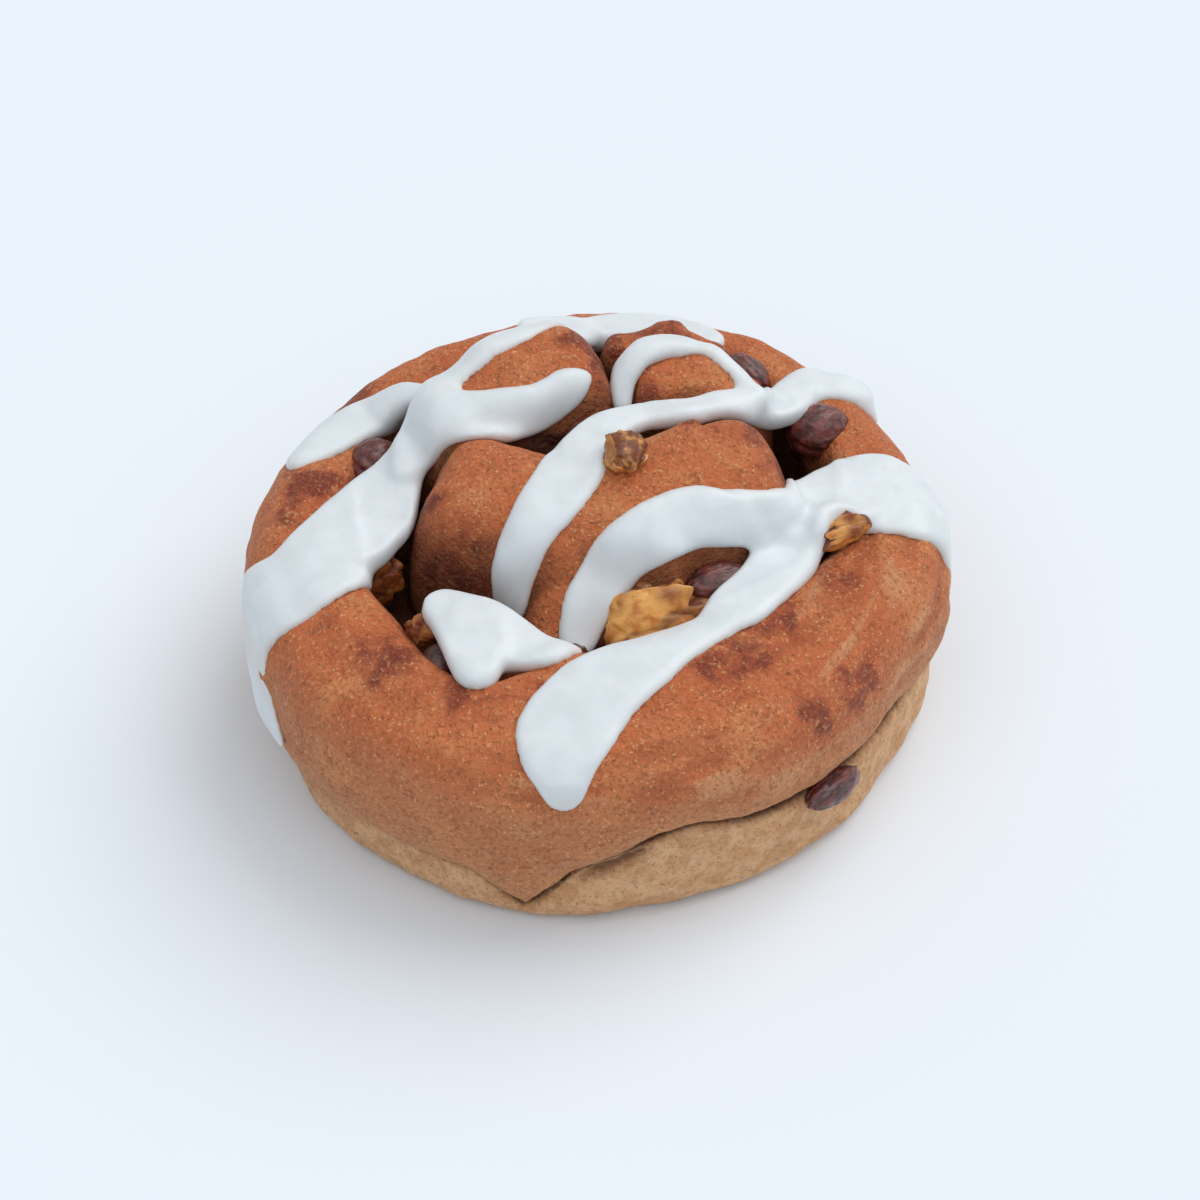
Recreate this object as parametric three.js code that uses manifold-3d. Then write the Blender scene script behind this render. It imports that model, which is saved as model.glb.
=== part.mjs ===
// Iced cinnamon roll with walnuts and raisins, lying flat as it was baked.
// Millimetres, +Z up, origin at the middle of the flat base. Angles run anticlockwise from +X
// as seen from above. The dough was baked as one piece, so it is one solid: an outer turn,
// a trench, and the risen inner turns. Icing, nuts and fruit are solids of their own.
import * as THREE from "three";
import { mergeVertices } from "three/addons/utils/BufferGeometryUtils.js";
import Module from "manifold-3d";

const wasm = await Module();
wasm.setup();

// ---------------------------------------------------------------- driving dimensions
// Outer turn of dough: values at equal steps around the roll, from +X, joined by smooth curves.
const SHOULDER_R = [51.8, 51.5, 50.5, 50.5, 50.5, 51.5, 52.8, 51.8, 49.2, 46.8, 45.6, 46.2];
const LIP_R = [49.8, 50.3, 50.0, 49.5, 49.5, 49.5, 50.0, 48.0, 45.5, 43.4, 42.6, 44.8];
const CREST_Z = [34.0, 34.5, 35.5, 36.5, 35.0, 35.0, 35.0, 34.5, 35.0, 36.0, 36.5, 35.5];
const SEAM_Z = [
  14.5, 14.0, 14.0, 13.5, 13.0, 12.5, 12.0, 12.0, 11.5, 11.0, 11.0, 10.5,
  10.5, 10.5, 10.5, 11.5, 11.0, 11.0, 14.5, 20.0, 17.0, 15.5, 15.5, 15.0,
];
const SEAM_DEPTH = [1.0, 0.8, 0.7, 0.6, 0.6, 0.5, 0.4, 0.3, 0.9, 1.0, 1.0, 1.0];
const FLOOR_Z = [17, 15, 24, 31, 31, 25, 20, 17, 29, 25, 23, 21]; // bottom of the trench
const TRENCH_R = [
  31.5, 35.0, 37.0, 38.0, 38.5, 38.5, 38.0, 37.5, 37.5, 37.5, 37.0, 36.0,
  34.0, 32.5, 30.5, 31.5, 31.0, 22.0, 20.0, 20.0, 20.5, 21.5, 24.0, 28.0,
];
const OUTLINE_CENTRE_Y = 1.7; // the outline's middle lies this far behind the spiral's middle
const FOLD_ANGLE = 256; // degrees, where the seam dips towards the base in a V
const FOLD_DROP = 6.5;
const FOLD_HALF_ANGLE = 9;
const WIDEST_Z = 17; // level where the top's dome would end
const SIDE_TOP_Z = 26; // level where the side starts to curve in towards the seam
const FURROW_DEPTH = 0.9; // shallow hollow round the front, between the inner rim and the shoulder
const MIDDLE_Z = 37; // bottom of the creases near the middle, where the spiral ends
const WALL_FOOT_Z = 8; // level where the rounded walls of the turns would end
const BASE_TUCK = 1.6; // how far the bottom edge turns under

// Risen inner turns: each is a ridge through [x, y, half width, height], its top leaning.
const RIDGES = [
  {
    lean: 0.18,
    points: [[-15.5, 2.5, 12, 43.5], [-7, -1, 12, 44.5], [4, -1, 12, 46], [13, 3, 12.5, 45.8],
      [17.5, 5, 11.5, 44]],
  },
  { lean: 0.15, points: [[-20, 16.5, 9, 46], [-13, 20.5, 10, 48], [-6.5, 23.5, 9.5, 48]] },
  { lean: 0.12, points: [[9.5, 23.5, 6.3, 44], [15, 25, 6.8, 44.5], [20, 23, 6.3, 42.5]] },
  { lean: 0, points: [[4, 33.5, 5, 41.5], [10, 34.5, 6, 42.5], [16, 33, 5, 40]] },
];

const ICING_THICKNESS = 1.6;
const ICING_DEPTH = 2.6; // how deep an icing ribbon is made before the dough is cut out of it
const EDGE_SINK = 0.7; // how far its edges run under the dough's surface, and how much wider
const EDGE_SPREAD = 1.1; // it is made for that
const RIBBON_STEP = 4; // length of an icing ribbon's facets
const CLEARANCE = 0.3; // between any two pieces
const AROUND = 64; // facets around the roll
const RINGS = 22; // rings of facets from the middle to the shoulder

// Icing ribbons: centre line and half width, [x, y, z, half width].
const ICING = {
  icing_back_left: [
    [[-46.5, -27.5, 15, 2], [-48.5, -22, 20, 2.2], [-49.5, -17, 25, 2.6],
      [-47.5, -13.5, 30.5, 4.4], [-44, -10, 34, 6.5], [-39, -6, 35, 7.4], [-33.5, 2, 35.5, 6.8],
      [-30, 9, 37, 4.5], [-27.5, 12, 39.5, 3.8], [-24.5, 13, 42.5, 3.8], [-20, 13.5, 45, 4.2],
      [-14.5, 14, 45, 4], [-9, 15.5, 45.5, 3.9], [-5, 18, 46, 3.2], [-2, 20, 45.5, 1.3]],
    [[-28.5, 9, 38, 2.5], [-28, 14, 41, 2.2], [-26, 17.5, 43.5, 2.6], [-22, 21, 46, 3.2],
      [-17, 24.5, 47, 3.3], [-12.5, 27, 47.5, 3.2], [-8, 30, 46, 2.8], [-5, 34, 42, 2.8],
      [-3, 39, 37.5, 3]],
    [[-44, 14.5, 33.5, 2.6], [-40.5, 19, 35, 4], [-36, 23, 35.5, 4], [-31.5, 25, 36.5, 3.6],
      [-28, 24, 40, 2.6], [-25, 21, 43.5, 2.2]],
    [[-11, 38.5, 40, 2.5], [-3, 41, 37.5, 3], [3, 42, 37, 3.5], [9, 43, 37, 2.8],
      [14, 41, 37, 3.2], [17.5, 39.5, 36, 2]],
  ],
  icing_centre: [
    [[-13.5, -11.5, 29.5, 2.6], [-13, -10.5, 34, 3.3], [-11.5, -9, 39, 3.7], [-9, -5.5, 43, 4.3],
      [-5.5, -0.5, 45, 4.8], [-2.5, 5.5, 45, 4.9], [1, 11.5, 44.5, 3.5], [6, 14.5, 44, 2.6],
      [12, 15.5, 44, 2.6], [17.5, 18, 43, 2.8], [23, 20.5, 41, 2.8], [27.5, 24.5, 37, 3.8],
      [30.5, 29.5, 36, 3.8], [34.5, 31.5, 35.5, 3.6], [39, 30.5, 34.5, 2.8], [42.5, 28, 32, 1.6]],
    [[3.5, 20, 40, 1.5], [3.5, 23.5, 43, 2.2], [6, 27, 45, 2.6], [11, 29, 45, 2.4],
      [16, 28.5, 44.5, 2.2], [20, 25.5, 43, 1.9], [23.5, 20.5, 42, 1.8]],
  ],
  icing_front_right: [
    [[-3.5, -17.5, 31, 3.2], [-1, -13, 35.5, 4], [2, -10.5, 40, 4.6], [7, -8, 43, 4.8],
      [12.5, -5, 43.5, 4.6], [18, -4, 42.5, 4.4], [24, -1.5, 39.5, 4.6], [28.5, 0.5, 36.5, 5.2],
      [31.5, 4.5, 36, 5.5], [37, 7.5, 35.5, 7.2], [42, 8, 35, 8.2], [46, 6, 33.5, 6.6],
      [49.5, 3.5, 29.5, 4], [51.5, 0.5, 24, 2]],
    [[-5, -45.5, 29.5, 2.8], [-5, -43, 32.5, 4.4], [-5, -38.5, 35, 6.8], [-2, -34, 36, 6.8],
      [3.5, -28.5, 36.5, 5.8], [9.5, -23.5, 36.5, 4.8], [16, -18.5, 36, 4.6],
      [22, -12.5, 35.5, 4.8], [26.5, -6, 35, 4.8], [29, -0.5, 35.5, 4.4]],
  ],
  icing_front_left: [
    [[-22.5, -10, 31.5, 3], [-19, -13.5, 33.5, 4.6], [-15.5, -18.5, 35, 6], [-17, -24.5, 36, 4]],
    [[-15.5, -18.5, 35, 5.4], [-10.5, -21, 35.5, 4], [-6.5, -22.5, 35.5, 2.4],
      [-3, -23, 35.5, 1.2]],
  ],
};

// Walnut pieces and raisins: centre, radii along the piece's own axes, and its turns in degrees.
const WALNUTS = {
  walnut_top: { at: [3, 3, 46.5], radii: [4.1, 3.6, 2.8], turn: [10, 0, 30] },
  walnut_front: { at: [6.5, -14.5, 30.5], radii: [8.2, 5, 5], turn: [0, -5, 12] },
  walnut_right: { at: [34.5, -1.5, 36], radii: [4.2, 3.2, 2.9], turn: [0, -8, 15] },
  walnut_left: { at: [-32, -3, 28], radii: [3.4, 3.6, 4.2], turn: [20, 0, 40] },
  walnut_lower_left: { at: [-25.2, -16, 31.5], radii: [2.6, 3, 3], turn: [0, 30, 0] },
  walnut_back_left: { at: [-28, 27, 35.5], radii: [2.6, 2.2, 2.2], turn: [0, 0, 50] },
};
const RAISINS = {
  raisin_upper_left: { at: [-33.5, 16, 32], radii: [4, 4, 4.4], turn: [0, 20, 30] },
  raisin_right: { at: [32.8, 23, 32.5], radii: [4.6, 4, 4.5], turn: [15, 0, 20] },
  raisin_back_right: { at: [22.5, 33, 34], radii: [4.4, 2.8, 3.6], turn: [0, 20, -45] },
  raisin_side: { at: [33.8, -29.4, 11.5], radii: [5.8, 2.6, 3.2], turn: [0, -12, 49] },
  raisin_front: { at: [19.2, -10, 30.5], radii: [4.2, 2.7, 2.8], turn: [0, 0, 30] },
  raisin_front_small: { at: [-3.8, -18.2, 28.5], radii: [2.6, 2.2, 2.3], turn: [0, 0, 10] },
  raisin_lower_left: { at: [-22.3, -22.5, 30.5], radii: [3, 3.4, 3.3], turn: [25, 0, 0] },
  raisin_left: { at: [-33, -9, 24], radii: [3, 3, 3.2], turn: [0, 35, 0] },
  raisin_centre: { at: [-1.5, 14.5, 40], radii: [3.8, 2.4, 2.6], turn: [0, 10, 25] },
};

const MATERIALS = {
  crust: new THREE.MeshStandardMaterial({ color: 0xa85c32, roughness: 0.62, metalness: 0 }),
  icing: new THREE.MeshStandardMaterial({ color: 0xe6e6e6, roughness: 0.38, metalness: 0 }),
  walnut: new THREE.MeshStandardMaterial({ color: 0xb87830, roughness: 0.5, metalness: 0 }),
  raisin: new THREE.MeshStandardMaterial({ color: 0x43161a, roughness: 0.35, metalness: 0 }),
};

// ---------------------------------------------------------------- the dough's surface
const clamp = THREE.MathUtils.clamp;

// A smooth closed curve through values that stand at equal angles.
function around(values, angle) {
  const n = values.length;
  const s = THREE.MathUtils.euclideanModulo(angle / (2 * Math.PI), 1) * n;
  const i = Math.floor(s);
  const t = s - i;
  const [a, b, c, d] = [-1, 0, 1, 2].map((k) => values[(i + k + n) % n]);
  return b + 0.5 * t * (c - a + t * (2 * a - 5 * b + 4 * c - d + t * (3 * (b - c) + d - a)));
}

// The larger of two heights, with the corner between them rounded over the given width.
function roundedMax(a, b, width) {
  const h = clamp(0.5 + (0.5 * (a - b)) / width, 0, 1);
  return b * (1 - h) + a * h + width * h * (1 - h);
}

// Height share of a rounded cushion, 1 in its middle and 0 at its edge.
function cushion(distance, squareness) {
  return (1 - clamp(distance, 0, 1) ** squareness) ** (1 / squareness);
}

// Radius of the outer turn's highest line.
function crestRadius(angle) {
  return 0.6 * around(TRENCH_R, angle) + 0.4 * around(SHOULDER_R, angle);
}

function outerTurnZ(radius, angle) {
  const outer = around(SHOULDER_R, angle);
  const inner = around(TRENCH_R, angle);
  const crest = around(CREST_Z, angle);
  const ridge = crestRadius(angle);
  if (radius > ridge) {
    const share = (radius - ridge) / (outer - ridge);
    const furrow = THREE.MathUtils.smoothstep(-Math.sin(angle), -0.1, 0.4) * FURROW_DEPTH;
    const hollow = furrow * Math.exp(-(((share - 0.42) / 0.2) ** 2));
    return WIDEST_Z + (crest - WIDEST_Z) * cushion(share, 2.8) - hollow;
  }
  return WALL_FOOT_Z + (crest - WALL_FOOT_Z) * cushion((ridge - radius) / (ridge - inner), 4);
}

function ridgeZ(ridge, x, y) {
  const middle = ridge.points.reduce((sum, p) => sum + p[1], 0) / ridge.points.length;
  let best = { share: Infinity, top: 0 };
  for (let i = 1; i < ridge.points.length; i++) {
    const [a, b] = [ridge.points[i - 1], ridge.points[i]];
    const [dx, dy] = [b[0] - a[0], b[1] - a[1]];
    const length = Math.hypot(dx, dy);
    const along = ((x - a[0]) * dx + (y - a[1]) * dy) / length;
    const across = Math.abs((x - a[0]) * dy - (y - a[1]) * dx) / length;
    const beyond = Math.max(-along, along - length, 0);
    const t = clamp(along / length, 0, 1);
    const share = Math.cbrt(across ** 3 + beyond ** 3) / (a[2] + t * (b[2] - a[2]));
    if (share < best.share) best = { share, top: a[3] + t * (b[3] - a[3]) };
  }
  const top = best.top + clamp(ridge.lean * (y - middle), -3, 3);
  return WALL_FOOT_Z + (top - WALL_FOOT_Z) * cushion(best.share, 3.4);
}

function topZ(x, y) {
  const radius = Math.hypot(x, y);
  const angle = Math.atan2(y, x);
  let z = outerTurnZ(radius, angle);
  for (const ridge of RIDGES) z = roundedMax(z, ridgeZ(ridge, x, y), 1.2);
  if (radius > crestRadius(angle)) return z;
  const floor = THREE.MathUtils.lerp(
    MIDDLE_Z, around(FLOOR_Z, angle), THREE.MathUtils.smoothstep(radius, 10, 22),
  );
  return roundedMax(z, floor, 2.5);
}

// Height of the seam where the outer turn hangs over the paler turn below it.
function seamZ(angle) {
  const turns = angle / (2 * Math.PI) - FOLD_ANGLE / 360;
  const off = Math.abs(turns - Math.round(turns)) * 360;
  return around(SEAM_Z, angle) - FOLD_DROP * clamp(1 - off / FOLD_HALF_ANGLE, 0, 1);
}

// Radius of the outside below the shoulder: the bulging turn above the seam, the lip below it.
function sideRadius(angle, z) {
  const seam = seamZ(angle);
  const crease = around(SEAM_DEPTH, angle);
  const above = clamp((SIDE_TOP_Z - z) / (SIDE_TOP_Z - seam), 0, 3);
  const under = clamp((seam - z) / 1.3, 0, 3);
  const bulge = around(SHOULDER_R, angle) - 1.8 * above ** 4 - (1 + 4 * crease) * under ** 2;
  const below = clamp(Math.abs((z - 0.45 * seam) / (0.62 * seam)), 0, 2);
  const over = clamp((z - seam + 1.6) / 1.6, 0, 3);
  const lip = around(LIP_R, angle) - 2.4 * below ** 4 - 4 * crease * over ** 2;
  return roundedMax(bulge, lip, 0.3 + 1.5 * (1 - clamp(crease, 0, 1)));
}

function isDough(point) {
  const radius = Math.hypot(point.x, point.y);
  const angle = Math.atan2(point.y, point.x);
  return (
    point.z < topZ(point.x, point.y) && radius < sideRadius(angle, Math.min(point.z, SIDE_TOP_Z))
  );
}

// ---------------------------------------------------------------- solids
// A geometry's corners joined where they meet, with only their positions kept.
function welded(geometry) {
  geometry.deleteAttribute("normal");
  geometry.deleteAttribute("uv");
  return mergeVertices(geometry, 1e-4);
}

function toSolid(geometry) {
  return new wasm.Manifold(
    new wasm.Mesh({
      numProp: 3,
      vertProperties: geometry.attributes.position.array,
      triVerts: new Uint32Array(geometry.index.array),
    }),
  );
}

function toGeometry(solid) {
  const mesh = solid.getMesh();
  const geometry = new THREE.BufferGeometry();
  geometry.setAttribute("position", new THREE.BufferAttribute(mesh.vertProperties, 3));
  geometry.setIndex(new THREE.BufferAttribute(mesh.triVerts, 1));
  geometry.computeVertexNormals();
  return geometry;
}

// The same closed surface moved outwards everywhere.
function inflated(geometry, distance) {
  const grown = geometry.clone();
  grown.computeVertexNormals();
  const normals = grown.attributes.normal;
  const positions = grown.attributes.position;
  for (let i = 0; i < positions.count; i++) {
    positions.setXYZ(
      i,
      positions.getX(i) + normals.getX(i) * distance,
      positions.getY(i) + normals.getY(i) * distance,
      positions.getZ(i) + normals.getZ(i) * distance,
    );
  }
  grown.deleteAttribute("normal");
  return grown;
}

// The dough is a lathe whose rings are laid on the surface above, one row for each profile point.
function doughGeometry() {
  const rows = [];
  for (let i = 0; i <= RINGS; i++) {
    rows.push((angle) => {
      const radius = (around(SHOULDER_R, angle) - 0.4) * (i / RINGS) ** 0.85;
      return [radius, topZ(radius * Math.cos(angle), radius * Math.sin(angle))];
    });
  }
  const stations = [
    (seam) => (seam + 21.7) / 2,
    (seam) => seam + 0.5,
    (seam) => seam - 1,
    (seam) => seam - 2.2,
    (seam) => 0.45 * seam,
    () => BASE_TUCK,
  ];
  for (const station of stations) {
    rows.push((angle) => {
      const z = station(seamZ(angle));
      return [sideRadius(angle, z), z];
    });
  }
  rows.push((angle) => [sideRadius(angle, BASE_TUCK) - BASE_TUCK, 0]);
  rows.push(() => [0, 0]);

  const profile = rows.map((row) => new THREE.Vector2(...row(0)));
  const geometry = new THREE.LatheGeometry(profile, AROUND);
  const positions = geometry.attributes.position;
  for (let i = 0; i < positions.count; i++) {
    const angle = -(Math.floor(i / rows.length) % AROUND) * ((2 * Math.PI) / AROUND);
    const [radius, z] = rows[i % rows.length](angle);
    positions.setXYZ(i, radius * Math.cos(angle), radius * Math.sin(angle), z);
  }
  return welded(geometry);
}

// A lump of nut or fruit: a ball drawn out to its radii, with folds running along it.
function lumpGeometry({ at, radii, turn }, folds, depth) {
  const geometry = welded(new THREE.IcosahedronGeometry(1, 2));
  const positions = geometry.attributes.position;
  const point = new THREE.Vector3();
  for (let i = 0; i < positions.count; i++) {
    point.fromBufferAttribute(positions, i);
    const fold = Math.sin(folds * Math.atan2(point.y, point.z) + 3 * point.x + at[0]);
    point.multiplyScalar(1 - depth * (1 + fold) * (1 - point.x ** 2));
    positions.setXYZ(i, point.x * radii[0], point.y * radii[1], point.z * radii[2]);
  }
  const angles = turn.map((degrees) => THREE.MathUtils.degToRad(degrees));
  const pose = new THREE.Matrix4().makeRotationFromEuler(new THREE.Euler(...angles));
  return geometry.applyMatrix4(pose.setPosition(...at));
}

// How far the dough lies outward (+) or inward (-) of a point, along the given direction.
// Where it lies deeper than the reach, the icing spans the gap and sags by a millimetre.
function doughOffset(point, outward) {
  const reach = [5, -1];
  const probe = new THREE.Vector3();
  for (let offset = reach[0]; offset > reach[1]; offset -= 0.2) {
    if (isDough(probe.copy(point).addScaledVector(outward, offset))) return offset;
  }
  return reach[1];
}

// One icing ribbon: a box bent along its centre line, pressed onto the dough and thin at its edges.
// It can be made larger all round, as the space that another piece keeps clear of.
function ribbonSolid(points, grow = 0) {
  const path = new THREE.CatmullRomCurve3(points.map((p) => new THREE.Vector3(...p.slice(0, 3))));
  const widths = new THREE.CatmullRomCurve3(points.map((p) => new THREE.Vector3(p[3], 0, 0)));
  const along = Math.max(4, Math.round(path.getLength() / RIBBON_STEP));
  const geometry = welded(new THREE.BoxGeometry(2, 2, 2, 4, 1, along));
  const positions = geometry.attributes.position;
  const spine = new THREE.Vector3();
  for (let i = 0; i < positions.count; i++) {
    const [side, layer, step] = [positions.getX(i), positions.getY(i), positions.getZ(i)];
    const s = (step + 1) / 2;
    path.getPoint(s, spine);
    const forward = path.getTangent(s);
    const lean = 0.5 * (Math.hypot(spine.x, spine.y) / 50) ** 4;
    const outward = new THREE.Vector3(spine.x, spine.y, 0).normalize().multiplyScalar(lean);
    outward.z = 1;
    outward.addScaledVector(forward, -outward.dot(forward)).normalize();
    const across = new THREE.Vector3().crossVectors(outward, forward);
    const half = widths.getPoint(s).x * EDGE_SPREAD + grow;
    const point = spine.clone().addScaledVector(across, side * half);
    if (Math.abs(step) === 1) point.addScaledVector(forward, step * grow);
    const swell = cushion(Math.abs(side), 3) * cushion(Math.abs(step), 8);
    const rise = layer > 0 ? (ICING_THICKNESS + EDGE_SINK) * swell - EDGE_SINK : -ICING_DEPTH;
    point.addScaledVector(outward, doughOffset(point, outward) + rise + layer * grow);
    positions.setXYZ(i, point.x, point.y, point.z);
  }
  return toSolid(geometry);
}

// ---------------------------------------------------------------- the roll
const group = new THREE.Group();
group.position.y = -OUTLINE_CENTRE_Y;

function addPiece(name, geometry, material) {
  const mesh = new THREE.Mesh(geometry, material);
  mesh.name = name;
  group.add(mesh);
}

const dough = doughGeometry();
const doughWithClearance = toSolid(inflated(dough, CLEARANCE));
let doughSolid = toSolid(dough);

const pockets = [];
for (const [pieces, folds, depth, material] of [
  [WALNUTS, 3, 0.08, MATERIALS.walnut],
  [RAISINS, 6, 0.05, MATERIALS.raisin],
]) {
  for (const [name, piece] of Object.entries(pieces)) {
    const geometry = lumpGeometry(piece, folds, depth);
    const pocket = toSolid(inflated(geometry, CLEARANCE));
    doughSolid = doughSolid.subtract(pocket);
    pockets.push(pocket);
    geometry.computeVertexNormals();
    addPiece(name, geometry, material);
  }
}
addPiece("dough", toGeometry(doughSolid), MATERIALS.crust);

// Each piece of icing gives way to the dough, the lumps and the icing before it, and any crumb
// that is cut off from its sheet is dropped.
const keptClear = [doughWithClearance, doughSolid, ...pockets];
for (const [name, ribbons] of Object.entries(ICING)) {
  let icing = ribbons.map((points) => ribbonSolid(points)).reduce((a, b) => a.add(b));
  for (const space of keptClear) icing = icing.subtract(space);
  keptClear.push(...ribbons.map((points) => ribbonSolid(points, CLEARANCE)));
  const [sheet] = icing.decompose().sort((a, b) => b.volume() - a.volume());
  addPiece(name, toGeometry(sheet), MATERIALS.icing);
}

export default group;
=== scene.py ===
"""Iced cinnamon roll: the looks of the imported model.

Lengths are millimetres in the shape code, in the spiral's own frame, and become metres in the
model's frame when a mesh, camera or light is made. Angles run anticlockwise from +X.
"""
import itertools
import math

import bmesh
import bpy
import numpy as np
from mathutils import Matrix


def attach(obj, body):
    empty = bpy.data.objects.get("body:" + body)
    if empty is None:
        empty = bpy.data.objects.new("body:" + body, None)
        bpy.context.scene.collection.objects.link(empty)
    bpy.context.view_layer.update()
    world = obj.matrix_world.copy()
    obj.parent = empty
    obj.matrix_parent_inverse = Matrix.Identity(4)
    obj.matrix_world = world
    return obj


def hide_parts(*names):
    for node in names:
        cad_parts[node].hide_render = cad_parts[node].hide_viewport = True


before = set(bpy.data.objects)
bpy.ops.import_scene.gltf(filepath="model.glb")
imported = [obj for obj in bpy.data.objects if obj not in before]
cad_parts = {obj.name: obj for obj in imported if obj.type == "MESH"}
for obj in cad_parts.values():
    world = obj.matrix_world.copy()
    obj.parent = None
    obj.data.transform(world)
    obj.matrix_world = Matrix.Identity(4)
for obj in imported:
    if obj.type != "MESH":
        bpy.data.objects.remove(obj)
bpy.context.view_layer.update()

import openvdb
from mathutils import Euler, Vector

MM = 0.001
OUTLINE_CENTRE_Y = 1.7  # the outline's middle lies this far behind the spiral's middle

# ------------------------------------------------------------------ camera and grids
CAMERA_TARGET = (0, 0, 20)
CAMERA_DISTANCE = 430.0
CAMERA_ELEVATION = math.radians(47)
LENS = 87
SENSOR = 36
FLOOR_SIZE = 6  # metres
SKY = (0.93, 0.97, 1.0, 1)
SKY_STRENGTH = 0.42

GRID_LOW = (-58, -54, -2)  # a box with room around the whole roll
GRID_HIGH = (58, 56, 54)
DOUGH_STEP = 0.6  # spacing of the grid that the dough is drawn from
ICING_STEP = 0.45
FAR = 9.0  # a distance that counts as well outside

# Seeds of the random numbers. Each walnut and raisin has the next one.
DOUGH_SEEDS = (1, 2, 3)
CRUST_SEEDS = (11, 12, 13, 14)
ICING_SEED = 21
BREAK_SEED = 40
WALNUT_SEED = 60
RAISIN_SEED = 80

# ------------------------------------------------------------------ the dough's dimensions
# Outer turn: values at equal steps around the roll, from +X, joined by smooth curves.
SHOULDER_R = [52.2, 51.5, 50.5, 50.5, 50.5, 51.7, 53.0, 51.8, 49.0, 46.7, 45.2, 46.0]
LIP_R = [50.2, 50.3, 50.0, 49.5, 49.5, 49.5, 50.0, 48.4, 46.3, 44.6, 43.8, 45.3]
CREST_Z = [34.0, 34.5, 35.5, 36.5, 35.0, 35.0, 35.0, 34.5, 35.0, 36.0, 36.5, 35.5]
SEAM_Z = [
    14.5, 14.0, 13.0, 11.5, 10.5, 11.5, 13.5, 13.5, 12.0, 10.0, 9.5, 10.5,
    10.5, 10.5, 10.5, 11.5, 11.0, 11.0, 14.5, 20.0, 17.0, 15.5, 15.5, 15.0,
]
SEAM_DEPTH = [0.9, 0.6, 0.4, 0.25, 0.35, 0.3, 0.2, 0.3, 0.9, 1.0, 1.0, 1.0]
FLOOR_Z = [17, 15, 24, 31, 31, 25, 20, 17, 29, 25, 23, 21]
TRENCH_R = [
    31.5, 35.0, 37.0, 38.0, 38.5, 38.5, 38.0, 37.5, 37.5, 37.5, 37.0, 36.0,
    34.0, 32.5, 30.5, 31.5, 31.0, 22.0, 20.0, 20.0, 20.5, 21.5, 24.0, 28.0,
]
CREST_SHARE = 0.4  # the crest's place between the trench, 0, and the shoulder, 1
SHOULDER_SQUARENESS = 2.8
WALL_SQUARENESS = 4
WIDEST_Z = 17.0
WALL_FOOT_Z = 8.0
FURROW_DEPTH = 0.9  # the shallow hollow round the front, between the inner rim and the shoulder
FURROW_PLACE = 0.42  # between the crest, 0, and the shoulder, 1
FURROW_WIDTH = 0.2

# Side of the outer turn: a bulge above the seam, and a lip of the turn below it.
SIDE_TOP_Z = 26.0
BASE_ROUNDING = 3.0
BULGE_PULL = 1.8  # how far the bulge has drawn in where it meets the seam
UNDERCUT_HEIGHT = 1.3  # the bulge turns in under itself over about this height
CREASE_DEPTH = 4.0  # the extra depth of the seam where SEAM_DEPTH is 1
CREASE_DROP = 2.6  # the lip starts to turn into the seam this far below it
CREASE_WIDTH = 2.2
LIP_WIDEST = 0.45  # height of the lip's widest place, as a share of the seam's height
LIP_REACH = 0.62  # how far up and down the lip rounds off, as a share of the seam's height
LIP_TUCK_ABOVE = 2.4
LIP_TUCK_BELOW = 5.5
FOLD_ANGLE = math.radians(256)  # where the seam dips to the base in a V
FOLD_DROP = 6.5
FOLD_HALF_ANGLE = math.radians(9)
POCKET_ANGLE = math.radians(273)  # a short second crease beside the V
POCKET_HALF_ANGLE = math.radians(6.5)
POCKET_DROP = 3.2
POCKET_HALF_HEIGHT = 0.8
POCKET_DEPTH = 1.6

# Middle of the roll, where no trench reaches.
MIDDLE_Z = 37.0
MIDDLE_R = 10
TRENCHED_R = 22
FLOOR_ROUNDING = 2.5  # where a trench's wall meets its floor

# Risen inner turns: each is a ridge through (x, y, half width, height), its top leaning.
RIDGE_SQUARENESS = 3.4
RIDGE_ROUNDING = 1.2  # where one ridge meets the next
RIDGES = [
    (0.18, [(-15.5, 2.5, 12, 43.5), (-7, -1, 12, 44.5), (4, -1, 12, 46), (13, 3, 12.5, 45.8),
            (17.5, 5, 11.5, 44)]),
    (0.15, [(-20, 16.5, 9, 46), (-13, 20.5, 10, 48), (-6.5, 23.5, 9.5, 48)]),
    (0.12, [(9.5, 23.5, 6.3, 44), (15, 25, 6.8, 44.5), (20, 23, 6.3, 42.5)]),
    (0.0, [(4, 33.5, 5, 41.5), (10, 34.5, 6, 42.5), (16, 33, 5, 40)]),
]

# Where the filling has baked through the crust: (x, y, radius, strength), seen from above.
STAINS = [
    (-28.5, -26.5, 3.5, 1), (-32, -22, 3, 0.8), (-38.5, -18.5, 2, 0.6), (-20.5, -31.5, 3, 0.8),
    (-8.5, -30.5, 2.5, 0.9), (14.5, -27.5, 3, 0.9), (19.5, -25, 3, 0.8), (24.5, -19.5, 3.5, 0.9),
    (33, -9, 4, 0.7), (31.5, -32, 3.5, 0.9), (36, -25, 2.5, 0.8), (-41.5, 9, 4, 1),
    (-45, 2, 2.5, 0.9), (-2, 24.5, 3, 0.9), (21, 9, 3, 0.8), (-26.5, 2, 2.5, 1),
    (-25.5, -7, 3, 0.9), (-20, -9, 4, 0.8), (27, 5, 3, 0.8), (6, 36, 2.5, 0.8),
    (-37, 29, 4, 0.9), (22, 27, 2.5, 0.6),
]

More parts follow.
